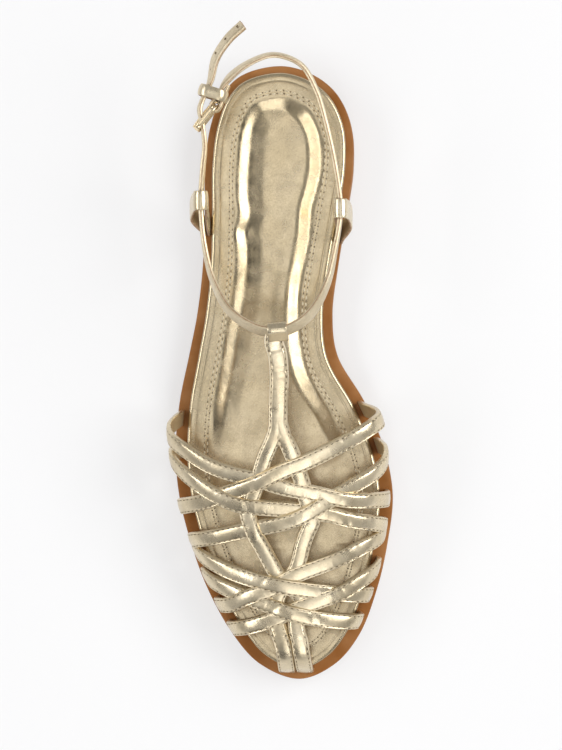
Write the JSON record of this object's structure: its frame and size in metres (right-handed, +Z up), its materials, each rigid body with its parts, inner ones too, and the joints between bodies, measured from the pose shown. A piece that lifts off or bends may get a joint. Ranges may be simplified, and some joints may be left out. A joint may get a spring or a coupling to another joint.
{
  "type": "gladiator sandal",
  "caption": "Flat gladiator sandal with woven leather straps across the toes, a T-strap and a buckled ankle strap on a low-heeled moulded sole.",
  "frame": {"origin": "centre of the heel's flat ground face, which is the mount heel_rest", "axes": "+Z up, +Y from the toe towards the heel along the foot, +X towards the medial side of this right shoe, so the buckle is at -X"},
  "size_m": [0.0912, 0.2638, 0.0709],
  "materials": {
    "sole_rubber": "smooth matte tan edge, lightly burnished",
    "footbed_leather": "pale gold metallic leather, satin, fine grain",
    "strap_leather": "pale gold metallic leather, glossy where it bends",
    "tab_leather": "pale gold metallic leather, glossy on the folds",
    "ankle_leather": "pale gold metallic leather with tan cut edges",
    "buckle_metal": "polished light gold plating"
  },
  "bodies": {
    "root": {"outsole": "sole_rubber", "insole": "footbed_leather", "vamp": "strap_leather", "tab_lateral": "tab_leather", "tab_medial": "tab_leather", "ankle_strap": "ankle_leather", "keeper": "tab_leather", "buckle": "buckle_metal", "buckle_prong": "buckle_metal"}
  },
  "joints": []
}
